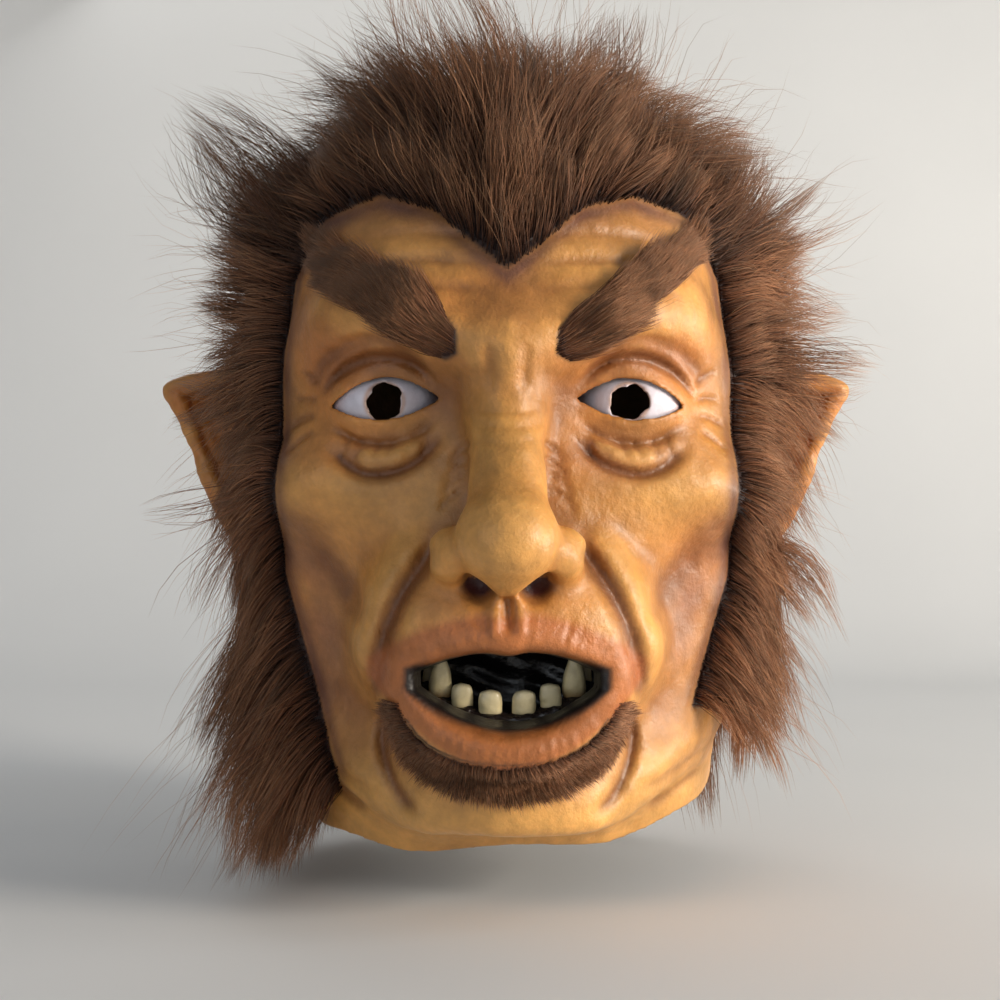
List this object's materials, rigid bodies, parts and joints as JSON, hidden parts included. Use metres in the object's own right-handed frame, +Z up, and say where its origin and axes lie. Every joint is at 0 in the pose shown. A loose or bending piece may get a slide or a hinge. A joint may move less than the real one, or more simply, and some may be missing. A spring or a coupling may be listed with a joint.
{
  "type": "latex halloween mask",
  "caption": "Full-head latex creature mask with pointed ears, a widow's peak and side panels of brown faux fur, fur brows and chin strip, and an open mouth with lower fangs.",
  "frame": {"origin": "centre of the head cavity, at the height of the eye holes and midway between the ears", "axes": "+Z up along the worn mask, -Y the way the face looks, +X towards the wearer's left"},
  "size_m": [0.234, 0.2454, 0.2515],
  "materials": {
    "painted_latex": "satin",
    "white_latex": "satin",
    "black_latex": "gloss",
    "tooth_latex": "satin",
    "long_fur": "matte",
    "short_fur": "matte"
  },
  "bodies": {
    "root": {"latex_skin": "painted_latex", "left_ear": "painted_latex", "right_ear": "painted_latex", "left_eye_white": "white_latex", "right_eye_white": "white_latex", "mouth_lining": "black_latex", "lower_gum": "black_latex", "left_inner_incisor": "tooth_latex", "left_outer_incisor": "tooth_latex", "left_fang": "tooth_latex", "left_back_tooth": "tooth_latex", "left_side_fur": "long_fur", "left_brow_fur": "short_fur", "right_inner_incisor": "tooth_latex", "right_outer_incisor": "tooth_latex", "right_fang": "tooth_latex", "right_back_tooth": "tooth_latex", "right_side_fur": "long_fur", "right_brow_fur": "short_fur", "crown_fur": "long_fur", "nape_fur": "long_fur", "chin_fur": "short_fur"}
  },
  "joints": []
}
